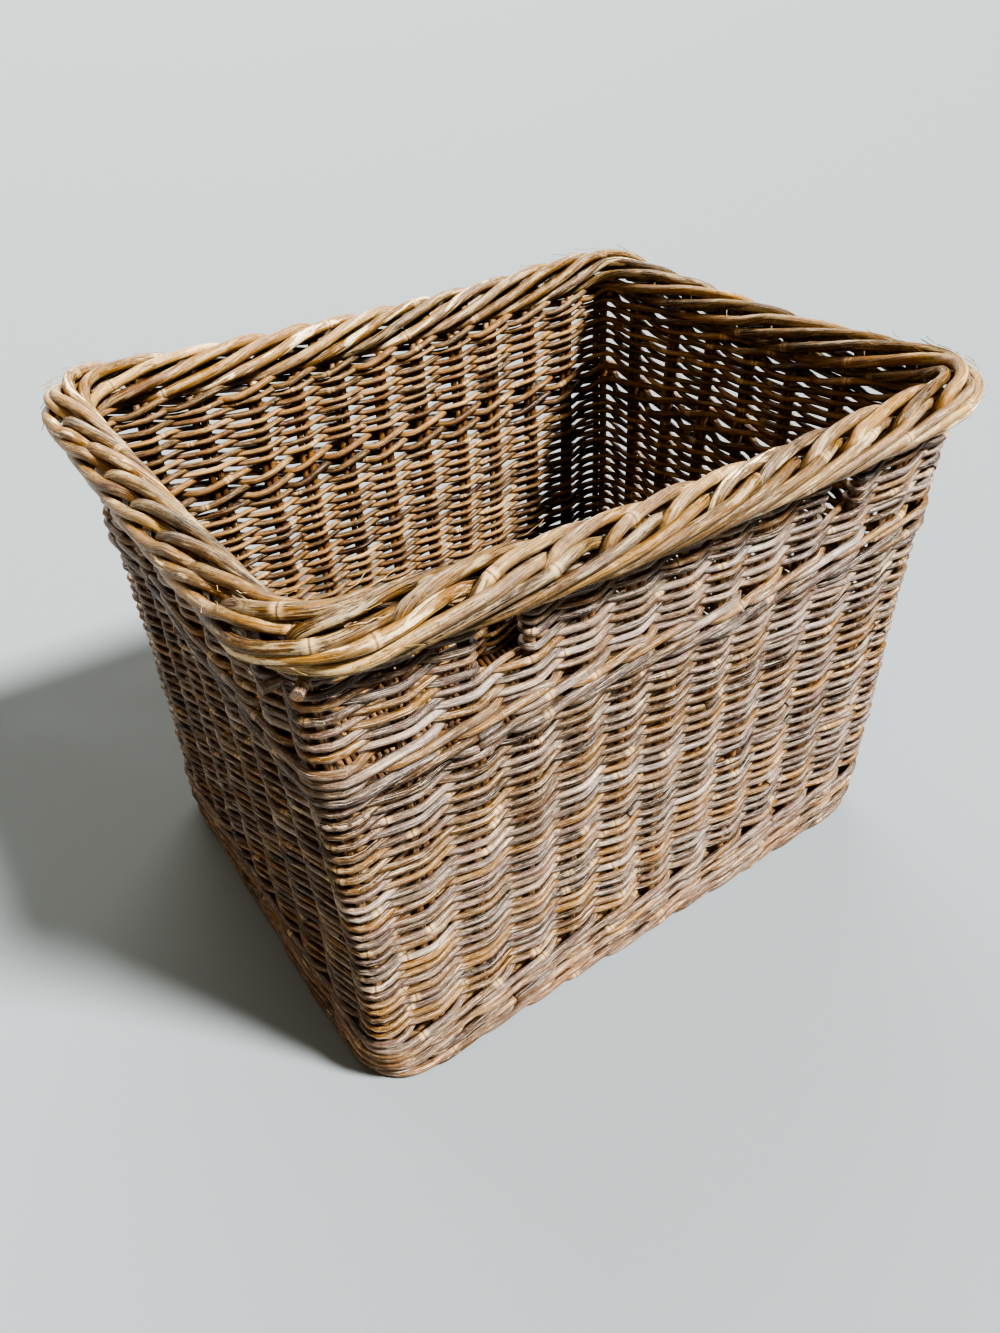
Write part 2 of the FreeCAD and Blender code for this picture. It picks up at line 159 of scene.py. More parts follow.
def stake_places():
    """Return each stake's distance round the stake line, from the middle of the front wall."""
    long_way, short_way = wall_lengths(HALF_LENGTH, HALF_WIDTH, CORNER_RADIUS)
    even_way = EVEN_GAPS * MIDDLE_PITCH
    side = (LONG_STAKES + 1) // 2
    number = np.arange(LONG_STAKES) + 1 - side
    numbers = (-side, -EVEN_GAPS, EVEN_GAPS, side)
    long_wall = np.interp(number, numbers, (-long_way, -even_way, even_way, long_way))
    short_wall = np.linspace(-short_way, short_way, SHORT_STAKES + 2)[1:-1]
    places = []
    middle = 0
    for stakes, way, next_way in ((long_wall, long_way, short_way), (short_wall, short_way, long_way)) * 2:
        places.extend(middle + stakes)
        places.append(middle + way)
        middle += way + next_way
    return np.array(places), middle


PLACES, ROUND = stake_places()


def around(stake):
    """Turn a place counted in stakes into a distance round the stake line."""
    laps = np.floor(np.asarray(stake) / STAKES)
    rest = np.asarray(stake) - laps * STAKES
    return np.interp(rest, np.arange(STAKES + 1), np.append(PLACES, PLACES[0] + ROUND)) + laps * ROUND


def plan_point(distance, half_length, half_width, radius):
    """Follow a rounded rectangle: return points, outward directions and nearness to a corner."""
    nominal = wall_lengths(HALF_LENGTH, HALF_WIDTH, CORNER_RADIUS)
    actual = wall_lengths(half_length, half_width, radius)
    distance = (np.asarray(distance) + nominal[0]) % ROUND
    corner = nominal[0] + nominal[1]
    half = distance >= 2 * corner
    distance = distance - half * 2 * corner
    short = distance >= 2 * nominal[0]
    offset = np.where(short, distance - 2 * nominal[0] - nominal[1], distance - nominal[0])
    way = np.where(short, nominal[1], nominal[0])
    true_way = np.where(short, actual[1], actual[0])
    reach = np.where(short, half_width, half_length) - radius
    away = np.where(short, half_length, half_width)
    side = np.sign(offset)
    along = np.abs(offset) * true_way / way
    bend = np.clip(along - reach, 0, None) / radius
    x = side * (np.minimum(along, reach) + radius * np.sin(bend))
    y = -away + radius * (1 - np.cos(bend))
    out_x = side * np.sin(bend)
    out_y = -np.cos(bend)
    turn = np.where(short, math.pi / 2, 0) + np.where(half, math.pi, 0)
    cos, sin = np.cos(turn), np.sin(turn)
    points = np.stack([x * cos - y * sin, x * sin + y * cos], axis=-1)
    outward = np.stack([out_x * cos - out_y * sin, out_x * sin + out_y * cos], axis=-1)
    return points, outward, np.abs(offset) / way


def unevenness(stake, height, seed):
    """How far a hand-woven wall strays at a place: smooth waves that close up round the basket."""
    rng = np.random.default_rng(seed)
    stray = 0
    for laps in (2, 3, 5, 8, 11, 15):
        waves = rng.uniform(-1.6, 1.6)
        cycles = laps * stake / STAKES + waves * height / RIM_HEIGHT
        stray = stray + np.sin(2 * math.pi * cycles + rng.uniform(0, 6))
    return stray / 2.4


def wall_point(stake, out, height):
    """Place points on the wall: plumb sides, a slight waist, rounder corners at the foot."""
    stake, out, height = np.broadcast_arrays(stake, out, height)
    level = height / RIM_HEIGHT
    stake = stake + 0.05 * unevenness(stake, height, 1)
    belly = np.sin(math.pi * np.clip(level, 0, 1))
    lean = FOOT_LEAN + (RIM_LEAN - FOOT_LEAN) * level - WAIST * belly
    radius = CORNER_RADIUS + FOOT_ROUNDING * np.exp(-height / FOOT_FADE)
    flat, outward, corner = plan_point(around(stake), HALF_LENGTH + lean, HALF_WIDTH + lean, radius)
    lift = RIM_LIFT * corner**2 * smooth((level - 0.45) / 0.5)
    sag = 2.2 * MM * unevenness(stake, height, 2) * belly
    flat = flat + outward * (out + 1.2 * MM * unevenness(stake, height, 3))[..., None]
    points = np.concatenate([flat, (height + lift + sag)[..., None]], axis=-1)
    return points, np.concatenate([outward, np.zeros_like(lift)[..., None]], axis=-1)


def rim_point(stake, out, height):
    """Place points in the border's roll, out from and above its axis."""
    stake, out, height = np.broadcast_arrays(stake, out, height)
    flat, outward, corner = plan_point(around(stake), RIM_HALF_LENGTH, RIM_HALF_WIDTH, RIM_RADIUS)
    flat = flat + outward * out[..., None]
    level = RIM_HEIGHT + RIM_LIFT * corner**2 + height
    points = np.concatenate([flat, level[..., None]], axis=-1)
    return points, np.concatenate([outward, np.zeros_like(level)[..., None]], axis=-1)


def wander(rng, places, step, size):
    """Return a slow random drift along a rod, with a fresh value every step."""
    knots = (places - places.min()) / step
    values = rng.normal(0, size, int(knots.max()) + 2)
    before = knots.astype(int)
    share = smooth(knots - before)
    return values[before] * (1 - share) + values[before + 1] * share


def sweep(path, reference, radius, angle):
    """Return the skin of a tube along a path: one ring of points to each point of the path."""
    tangent = np.gradient(path, axis=0)
    tangent /= np.linalg.norm(tangent, axis=1)[:, None]
    across = np.cross(tangent, reference)
    across /= np.linalg.norm(across, axis=1)[:, None]
    facing = np.cross(across, tangent)
    cos, sin = np.cos(angle), np.sin(angle)
    section = facing[:, None] * cos[None, :, None] + across[:, None] * sin[None, :, None]
    return path[:, None] + section * radius[:, None, None]


class RodMesh:
    """Collects rods, and turns them into one mesh object that rides on the basket."""

    def __init__(self, name, slot, nodes=()):
        self.name = name
        self.slot = slot
        self.nodes = nodes
        self.points = []
        self.faces = []
        self.flat = []
        self.rod = []
        self.ring = []
        self.tint = []
        self.outside = []
        self.count = 0

    def add(self, rng, path, reference, radius, sides=8, tint=None, outside=0.5):
        """Sweep a tube along a path. reference is the direction that the tube keeps facing."""
        path = np.asarray(path, float)
        radius = np.broadcast_to(radius, len(path)).astype(float)
        reference = np.broadcast_to(reference, path.shape)
        outside = np.broadcast_to(outside, len(path)).astype(float)
        step = np.linalg.norm(np.diff(path, axis=0), axis=1)
        length = np.concatenate([[0], np.cumsum(step)])
        rings, offset = self.node_rings(rng, length)
        radius = radius * (1 + 0.07 * np.exp(-(rings / (4 * MM)) ** 2))
        angle = np.linspace(0, 2 * math.pi, sides, endpoint=False)
        self.points.append(sweep(path, reference, radius, angle).reshape(-1, 3))
        self.add_faces(len(path), sides)
        shape = radius[:, None]
        self.rod.append(np.stack([
            (np.cos(angle) * shape).ravel(),
            (np.sin(angle) * shape).ravel(),
            np.repeat(length + offset, sides),
        ], axis=-1))
        self.ring.append(np.repeat(rings, sides))
        colour = rng.random(4) if tint is None else np.asarray(tint, float)
        self.tint.append(np.tile(colour, (len(path) * sides, 1)))
        turned_out = 0.25 * np.cos(angle) * shape / WEAVER_RADIUS
        self.outside.append((outside[:, None] + turned_out).ravel())

    def add_faces(self, rows, sides):
        """Join a tube's rings of points with faces, and close both of its ends."""
        index = self.count + np.arange(rows * sides).reshape(rows, sides)
        turned = np.roll(index, -1, axis=1)
        quads = np.stack([index[:-1], turned[:-1], turned[1:], index[1:]], axis=-1).reshape(-1, 4)
        self.faces.extend(quads.tolist())
        self.faces.append(index[0][::-1].tolist())
        self.faces.append(index[-1].tolist())
        self.flat.extend([False] * len(quads) + [True, True])
        self.count += rows * sides

    def node_rings(self, rng, length):
        """Place the cane's node rings: return each point's distance to the nearest one."""
        places = np.cumsum(rng.uniform(0.14, 0.42, int(length[-1] / 0.14) + 3)) - rng.uniform(0, 0.3)
        gaps = length[:, None] - places[None, :]
        nearest = np.abs(gaps).argmin(axis=1)
        return gaps[np.arange(len(length)), nearest], rng.uniform(0, 50)

    def build(self, material):
        """Make the mesh object, with what its material reads stored on the points."""
        mesh = bpy.data.meshes.new(self.name)
        points = np.concatenate(self.points)
        mesh.from_pydata(points.tolist(), [], self.faces)
        mesh.polygons.foreach_set("use_smooth", [not flat for flat in self.flat])
        rod = mesh.attributes.new("rod", "FLOAT_VECTOR", "POINT")
        rod.data.foreach_set("vector", np.concatenate(self.rod).astype(np.float32).ravel())
        tint = mesh.attributes.new("tint", "FLOAT_COLOR", "POINT")
        tint.data.foreach_set("color", np.concatenate(self.tint).astype(np.float32).ravel())
        for name, values in (("ring", self.ring), ("outside", self.outside)):
            layer = mesh.attributes.new(name, "FLOAT", "POINT")
            layer.data.foreach_set("value", np.concatenate(values).astype(np.float32))
        mesh.materials.append(material)
        mesh.update()
        piece = bpy.data.objects.new(self.name, mesh)
        bpy.context.scene.collection.objects.link(piece)
        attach(piece, "root")
        if self.nodes:
            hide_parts(*self.nodes)


# Paths of the weaving.

def out_of_pairing(turn):
    """How far out a weaver stands that goes in front of one pair of stakes and behind the next."""
    swing = 1.1 * 2 / math.pi * np.arcsin(np.cos(math.pi * turn))
    return PAIRING_SWING * swing / (1 + swing**10) ** 0.1


def out_of_wale(turn):
    """How far out a waling rod stands that goes in front of two pairs of stakes and behind one."""
    return WALE_SWING * np.tanh(2.4 * (np.cos(2 * math.pi * (turn - 0.5) / 3) + 0.42))


def rise_of_pairing(turn):
    """How a weaver lifts over its partner on the way in, and dips under it on the way out."""
    wave = np.sin(math.pi * turn)
    return PAIRING_RISE * wave * np.abs(wave) ** 0.3


def rise_of_wale(turn):
    """How a waling rod climbs over two stakes outside and comes down again inside."""
    part = (turn + 0.5) % 3
    climb = smooth(part / 2)
    fall = smooth(part - 2)
    return (climb - fall - 0.5) * WALE_CLIMB


def steps(first, last):
    """Return evenly spaced places from one stake to another."""
    return np.linspace(first, last, max(int(round((last - first) * STEPS_PER_STAKE)), 2) + 1)


def turn_back(stake, height, ahead):
    """Take a weaver's end round a strap hole's stake: return places, ways out and heights."""
    angle = np.linspace(0.46, -0.58, 15) * math.pi
    bay = around(1) - around(0)
    reach = HOLE_TURN * np.cos(angle) * ahead / bay
    return stake + reach, STAKE_CLEARANCE * np.sin(angle), height + 0 * angle


def add_weaver(
    mesh, rng, stake, phase, height, radius, out=out_of_pairing, rise=rise_of_pairing, turned=()
):
    """Weave one rod round the basket or part of the way; turned names ends that turn back."""
    turn = stake - phase
    away = out(turn) + wander(rng, stake, 1.3, 0.45 * MM)
    level = height + rise(turn) + wander(rng, stake, 2.1, 0.75 * MM)
    pivot = stake.copy()
    for end, ahead in turned:
        if away[end] > 0:
            parts = turn_back(stake[end], level[end], ahead)
            steps_back = -1 if end == 0 else 1
            parts = [part[::steps_back] for part in parts]
            centre = 0 * parts[0] + stake[end]
            rows = [(stake, parts[0]), (away, parts[1]), (level, parts[2]), (pivot, centre)]
            stake, away, level, pivot = [np.concatenate(row if end else row[::-1]) for row in rows]
    path, outward = wall_point(stake, away, level)
    bent = pivot != stake
    middle, _ = wall_point(pivot, 0, level)
    facing = np.where(bent[:, None], path - middle, outward)
    path[:, 2] = np.maximum(path[:, 2], radius)
    thick = radius * (1 + wander(rng, stake, 6, 0.05))
    side = 0.5 + 0.5 * np.clip(away / (7 * MM), -1, 1)
    mesh.add(rng, path, facing, thick, outside=side)


def broken_rows(rng, first, last):
    """Split a row into rods: each weaver runs out after a while and the next takes over."""
    places = [first]
    while places[-1] < last:
        places.append(places[-1] + rng.uniform(0.55, 1) * LONGEST_WEAVER)
    places[-1] = last
    if len(places) > 2 and places[-1] - places[-2] < 4:
        places.pop(-2)
    return list(zip(places[:-1], places[1:]))


def add_pairing_row(mesh, rng, height, first, last, holes=False):
    """Weave the two rods of a pairing row, one in front where the other is behind."""
    for phase in (0, 1):
        radius = WEAVER_RADIUS * rng.uniform(0.9, 1.12)
        for start, end in broken_rows(rng, first, last):
            over = end + (0.45 if end < last else 0)
            stake = steps(start, over)
            turned = []
            if holes and start == first:
                turned.append((0, -1))
            if holes and over == last:
                turned.append((-1, 1))
            level = height + rng.normal(0, 0.5 * MM)
            add_weaver(mesh, rng, stake, phase, level, radius, turned=turned)


def add_wale_row(mesh, rng, height, radius, first, last):
    """Weave the three rods of a waled row, each one stake behind the last."""
    for phase in range(3):
        stake = steps(first, last)
        thick = radius * rng.uniform(0.92, 1.08)
        add_weaver(mesh, rng, stake, phase, height, thick, out_of_wale, rise_of_wale)


def make_lower_weave(rng):
    """The many rows of pairing below the middle wale, a few rows to a piece."""
    rows, bottom, pitch = LOWER_ROWS
    pieces = []
    for band, wall in enumerate(WALLS):
        nodes = [f"{wall}_lower_weave_{face}" for face in ("outer", "inner")]
        mesh = RodMesh(f"lower_weave_{band + 1}", "outer_weave", nodes)
        for row in range(rows * band // len(WALLS), rows * (band + 1) // len(WALLS)):
            start = rng.uniform(0, STAKES)
            add_pairing_row(mesh, rng, bottom + row * pitch, start, start + STAKES)
        pieces.append(mesh)
    return pieces


def hole_edges():
    """Return the stakes on either side of the strap holes."""
    return (LEFT_HOLE, LEFT_HOLE + 1), (RIGHT_HOLE, RIGHT_HOLE + 1)


def make_upper_weave(rng):
    """The rows of pairing above the middle wale, and those that turn back at the strap holes."""
    rows, bottom, pitch = UPPER_ROWS
    nodes = [f"{wall}_upper_weave_{face}" for wall in WALLS for face in ("outer", "inner")]
    whole = RodMesh("upper_weave", "outer_weave", nodes)
    for row in range(rows - HOLE_ROWS):
        start = rng.uniform(0, STAKES)
        add_pairing_row(whole, rng, bottom + row * pitch, start, start + STAKES)
    cut = RodMesh("strap_hole_rows", "outer_weave", ["strap_hole_wraps"])
    (left_from, left_to), (right_from, right_to) = hole_edges()
    for row in range(rows - HOLE_ROWS, rows):
        height = bottom + row * pitch
        add_pairing_row(cut, rng, height, left_to, right_from, holes=True)
        add_pairing_row(cut, rng, height, right_to, left_from + STAKES, holes=True)
    return [whole, cut]


def make_wales(rng):
    """The waled rows: the foot, the upset above it, the middle band and the row under the border."""
    bands = (
        ("foot_wale", "foot", "foot_rods", FOOT_ROWS, FOOT_RADIUS),
        ("upset_wale", "wale", "upset_wale", UPSET_ROWS, WALE_RADIUS),
        ("middle_wale", "wale", "middle_wale", MIDDLE_ROWS, WALE_RADIUS),
        ("top_wale", "wale", "top_wale", TOP_WALE_ROWS, WALE_RADIUS),
    )
    pieces = []
    for name, slot, node, (rows, bottom, pitch), radius in bands:
        mesh = RodMesh(name, slot, [f"{wall}_{node}" for wall in WALLS])
        for row in range(rows):
            start = rng.uniform(0, STAKES)
            add_wale_row(mesh, rng, bottom + row * pitch, radius, start, start + STAKES)
        pieces.append(mesh)
    return pieces


# Stakes, border and base.

def make_stakes(rng):
    """The upright rods, two side by side at each place, and one thick one at each corner."""
    pieces = []
    first = 0
    beside_holes = [stake for edges in hole_edges() for stake in edges]
    for wall, count in WALL_STAKES:
        mesh = RodMesh(f"{wall}_stakes", "stakes", [f"{wall}_stakes", f"{wall}_bye_stakes"])
        for number in range(first, first + count):
            flank = number in beside_holes
            for side, radius in ((-1, STAKE_RADIUS), (1, BYE_STAKE_RADIUS)):
                top = SHORT_BYE_STAKE_TOP if flank and side == 1 else STAKE_TOP
                level = np.linspace(STAKE_FOOT, top + rng.uniform(-4, 3) * MM, 30)
                aside = wander(rng, level, 60 * MM, 0.7 * MM) + side * STAKE_SPREAD
                if flank:
                    aside -= side * STAKE_SPREAD * smooth((level - 400 * MM) / (30 * MM))
                bay = around(number + 1) - around(number)
                out = wander(rng, level, 80 * MM, 0.4 * MM)
                path, outward = wall_point(number + aside / bay, out, level)
                mesh.add(rng, path, outward, radius * rng.uniform(0.9, 1.1), outside=0.35)
        pieces.append(mesh)
        first += count + 1
    corners = RodMesh("corner_stakes", "stakes", ["corner_stakes"])
    for number in (RIGHT_CORNER, BACK_CORNER, LEFT_CORNER, NEAR_CORNER):
        for side in (-1, 1):
            level = np.linspace(STAKE_FOOT, CORNER_STAKE_TOP, 30)
            out = wander(rng, level, 80 * MM, 0.4 * MM)
            path, outward = wall_point(number + side * CORNER_SPREAD, out, level)
            corners.add(rng, path, outward, STAKE_RADIUS * rng.uniform(0.95, 1.1), outside=0.4)
    pieces.append(corners)
    return pieces


def border_keys(rng):
    """How one border rod runs: distance on from its stake, way out and way up, in millimetres."""
    keys = np.array([
        (-9, -10, -28),
        (-4, 0, -15),
        (0, 9, -2),
        (5, 11, 7),
        (14, 9.5, 13),
        (30, 6, 17),
        (55, -1, 17.5),
        (85, -9, 13.5),
        (115, -14.5, 5),
        (150, -15.5, -5),
        (180, -9, -14),
        (210, 2, -18),
        (240, 12, -16),
        (265, 17, -11.5),
        (294, 20, -5),
        (325, 20.5, 1),
        (347, 19, 5),
        (365, 15.5, 9.5),
        (380, 10, 9.5),
        (392, 4, 6),
        (405, 0, 2),
        (420, -2, -2),
    ])
    keys[:, 0] *= rng.uniform(0.98, 1.02)
    keys[2:, 1:] += rng.normal(0, 0.5, (len(keys) - 2, 2))
    return keys * MM


def spline(values, places):
    """Draw a smooth curve through evenly numbered values."""
    values = np.asarray(values)
    index = np.clip(places.astype(int), 0, len(values) - 2)
    share = (places - index)[:, None] if values.ndim > 1 else places - index
    before = values[np.clip(index - 1, 0, None)]
    here = values[index]
    there = values[index + 1]
    after = values[np.clip(index + 2, None, len(values) - 1)]
    return here + 0.5 * share * (
        there - before
        + share * (
            2 * before - 5 * here + 4 * there - after
            + share * (3 * (here - there) + after - before)
        )
    )


def make_border(rng):
    """The rolled border: each rod goes over the roll, down inside, under it and up outside again."""
    pieces = []
    first = 0
    for wall, count in WALL_STAKES:
        nodes = [f"{wall}_border_outer", f"{wall}_border_inner"]
        if wall == "front":
            nodes.append("border_corners")
        mesh = RodMesh(f"{wall}_border", "border", nodes)
        for number in range(first, first + count + 1):
            keys = border_keys(rng)
            places = np.linspace(0, len(keys) - 1, 84)
            along, out, up = spline(keys, places).T
            stake = number + (along + rng.normal(0, 1.5 * MM)) / BORDER_PITCH
            path, outward = rim_point(stake, out, up)
            centre, _ = rim_point(stake, 0, 0)
            taper = np.interp(places, [0, 9, len(keys) - 1], [1.04, 1, 0.92])
            radius = BORDER_RADIUS * rng.uniform(0.9, 1.08) * taper
            mesh.add(rng, path, path - centre + outward * 0.2 * MM, radius, sides=12, outside=0.75)
        pieces.append(mesh)
        first += count + 1
    return pieces


def make_cut_ends(rng):
    """Cut ends of weavers that come out between the stakes, and two stubs under the border."""
    mesh = RodMesh("cut_ends", "outer_weave")
    rows, bottom, pitch = LOWER_ROWS
    for _ in range(CUT_ENDS):
        stake = rng.integers(0, STAKES) + np.linspace(-0.55, rng.uniform(0.02, 0.3), 9)
        height = bottom + (rng.integers(0, rows + 6) + 0.4) * pitch + np.linspace(-2, 2, 9) * MM
        path, outward = wall_point(stake, np.linspace(-1, 9.5, 9) * MM, height)
        radius = WEAVER_RADIUS * rng.uniform(0.85, 1.1)
        mesh.add(rng, path, outward, radius, outside=0.8, tint=(0.7, 0.8, 1, 0.5))
    for stake, height in ((-1.16, 463 * MM), (-0.94, 467 * MM)):
        path, outward = wall_point(stake, np.linspace(-6, 24, 9) * MM, height)
        mesh.add(rng, path, (0, 0, 1), STAKE_RADIUS, sides=10, outside=0.7, tint=(0.6, 0.7, 1, 0.5))
    return mesh


def make_fibres(rng):
    """Hair-thin fibres that stand off the worn border, most of them at its corners."""
    mesh = RodMesh("frayed_fibres", "border")
    for corner in (-1, RIGHT_CORNER, BACK_CORNER, LEFT_CORNER):
        for _ in range(FIBRES_PER_CORNER):
            along = np.linspace(0, rng.uniform(0.15, 0.5), 6) + corner + rng.normal(0, 0.9)
            angle = rng.uniform(-0.5, 2.4)
            reach = 24 * MM + np.linspace(0, 1, 6) ** 2 * rng.uniform(1, 7) * MM
            path, outward = rim_point(along, reach * math.cos(angle), reach * math.sin(angle))
            path = path + rng.normal(0, 0.4 * MM, path.shape)
            mesh.add(rng, path, outward, FIBRE_RADIUS, sides=3, outside=0.9, tint=(1, 1, 1, 1))
    return mesh


def make_base(rng):
    """The base: thick lengthwise sticks, with pairs of rods woven over and under them."""
    low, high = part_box("base_sticks")
    reach = high.x - 2 * MM
    level = (low.z + high.z) / 2
    gap = (high.y - low.y - 2 * BASE_EDGE) / (BASE_STICKS - 1)
    sticks = RodMesh("base_sticks", "base", ["base_sticks"])
    for number in range(BASE_STICKS):
        side = low.y + BASE_EDGE + number * gap
        along = np.linspace(-reach, reach, 40)
        bend = wander(rng, along, 0.12, 0.8 * MM)
        path = np.stack([along, side + bend, level + 0 * along], axis=-1)
        sticks.add(rng, path, (0, 0, 1), BASE_STICK_RADIUS * rng.uniform(0.92, 1.06), outside=0.3)
    weavers = RodMesh("base_weavers", "base", ["base_weavers"])
    width = high.y - low.y + 4 * MM
    first = -reach + 5 * MM
    for row in range(BASE_ROWS):
        place = first - row * 2 * first / (BASE_ROWS - 1)
        for phase in (0, 1):
            across = np.linspace(-width / 2, width / 2, 8 * BASE_STICKS)
            turn = (across - low.y - BASE_EDGE) / gap + phase + row
            rise = 8.4 * MM * np.tanh(1.3 * np.cos(math.pi * turn)) / math.tanh(1.3)
            sway = 2 * MM * np.sin(math.pi * turn) + wander(rng, across, 0.1, 0.6 * MM)
            path = np.stack([place + sway, across, level + rise], axis=-1)
            radius = BASE_WEAVER_RADIUS * rng.uniform(0.88, 1.08)
            weavers.add(rng, path, (0, 0, 1), radius, sides=7, outside=0.25)
    return [sticks, weavers]


# Materials. Each cane runs from dark to light, in one palette outside and one inside.

WEATHERED = ("543820", "7C5A28", "70573E", "66524A", "7C6856", "9A8E86")
GOLDEN = ("583C22", "785834", "8C6A40", "98784E", "86663E", "A6885E")
FOOT_WORN = ("5E3E22", "7E5C3C", "8E7460", "7A5A38")
STAKE_WORN = ("6E4A2C", "8A643A", "967450")
STAKE_GOLDEN = ("6E4A2C", "866038", "947048")
BORDER_WORN = ("6E4C28", "8C682C", "8E6C3E", "82694E", "967A4E", "AA8C58")
BORDER_GOLDEN = ("6E4A20", "8E6228", "A07636")
BASE_WORN = ("6E4A28", "8A6236")
BASE_GOLDEN = ("5E3E20", "7A5630", "8A6236")

# What lies over them, some of it painted highlight, and the floor.
STAIN = "4A2F1C"
# Pale silvered fibre of weathered cane, laid on more strongly than the fibre alone so that it also serves
# as painted sheen highlight.
SILVERED_FIBRE_AND_SHEEN = "EDE6DB"
# Pale flecks in the cane's skin, made brighter and more plentiful so that they also serve as painted
# highlight glints.
PALE_FLECK_AND_GLINT = "E8DCC4"
PEELED_CORE = "EADCB8"
DARK_DOT = "3B2414"
CRACK = "3A2515"
RING_GLOW = "CDB28A"
RING_LINE = "4A3020"
FLOOR = "828A8E"


def rgb(code):
    """Turn a web colour into the linear colour that a shader takes."""
    parts = [int(code[i:i + 2], 16) / 255 for i in (0, 2, 4)]
    return [part / 12.92 if part <= 0.04045 else ((part + 0.055) / 1.055) ** 2.4 for part in parts] + [1]


class Nodes:
    """Short names for the few shader nodes that the cane and the room are built from."""

    def __init__(self, tree):
        self.tree = tree

    def new(self, kind, **settings):
        node = self.tree.nodes.new(kind)
        for name, value in settings.items():
            setattr(node, name, value)
        return node

    def put(self, socket, value):
        if isinstance(value, bpy.types.NodeSocket):
            self.tree.links.new(value, socket)
        else:
            socket.default_value = value

    def attribute(self, name, output):
        return self.new("ShaderNodeAttribute", attribute_name=name).outputs[output]

    def math(self, operation, first, second=0.0, clamp=False):
        node = self.new("ShaderNodeMath", operation=operation, use_clamp=clamp)
        self.put(node.inputs[0], first)
        self.put(node.inputs[1], second)
        return node.outputs[0]

    def span(self, value, low, high, to_low=0.0, to_high=1.0):
        node = self.new("ShaderNodeMapRange", interpolation_type="SMOOTHSTEP")
        for socket, item in zip(node.inputs, (value, low, high, to_low, to_high)):
            self.put(socket, item)
        return node.outputs[0]

    def noise(self, vector, scale, detail=2.0, roughness=0.5, shift=0.0):
        mapping = self.new("ShaderNodeMapping")
        self.put(mapping.inputs["Vector"], vector)
        self.put(mapping.inputs["Scale"], scale)
        self.put(mapping.inputs["Location"], (shift, 2 * shift, shift))
        node = self.new("ShaderNodeTexNoise")
        self.put(node.inputs["Vector"], mapping.outputs[0])
        self.put(node.inputs["Scale"], 1.0)
        self.put(node.inputs["Detail"], detail)
        self.put(node.inputs["Roughness"], roughness)
        return node.outputs["Fac"]

    def mix(self, share, first, second, blend="MIX"):
        node = self.new("ShaderNodeMix", data_type="RGBA", blend_type=blend)
        self.put(node.inputs["Factor"], share)
        self.put(node.inputs["A"], first)
        self.put(node.inputs["B"], second)
        return node.outputs["Result"]

    def ramp(self, value, colours):
        node = self.new("ShaderNodeValToRGB")
        ends = node.color_ramp.elements
        while len(ends) < len(colours):
            ends.new(0.5)
        for place, (element, colour) in enumerate(zip(ends, colours)):
            element.position = place / (len(colours) - 1)
            element.color = rgb(colour)
        self.put(node.inputs["Fac"], value)
        return node.outputs["Color"]


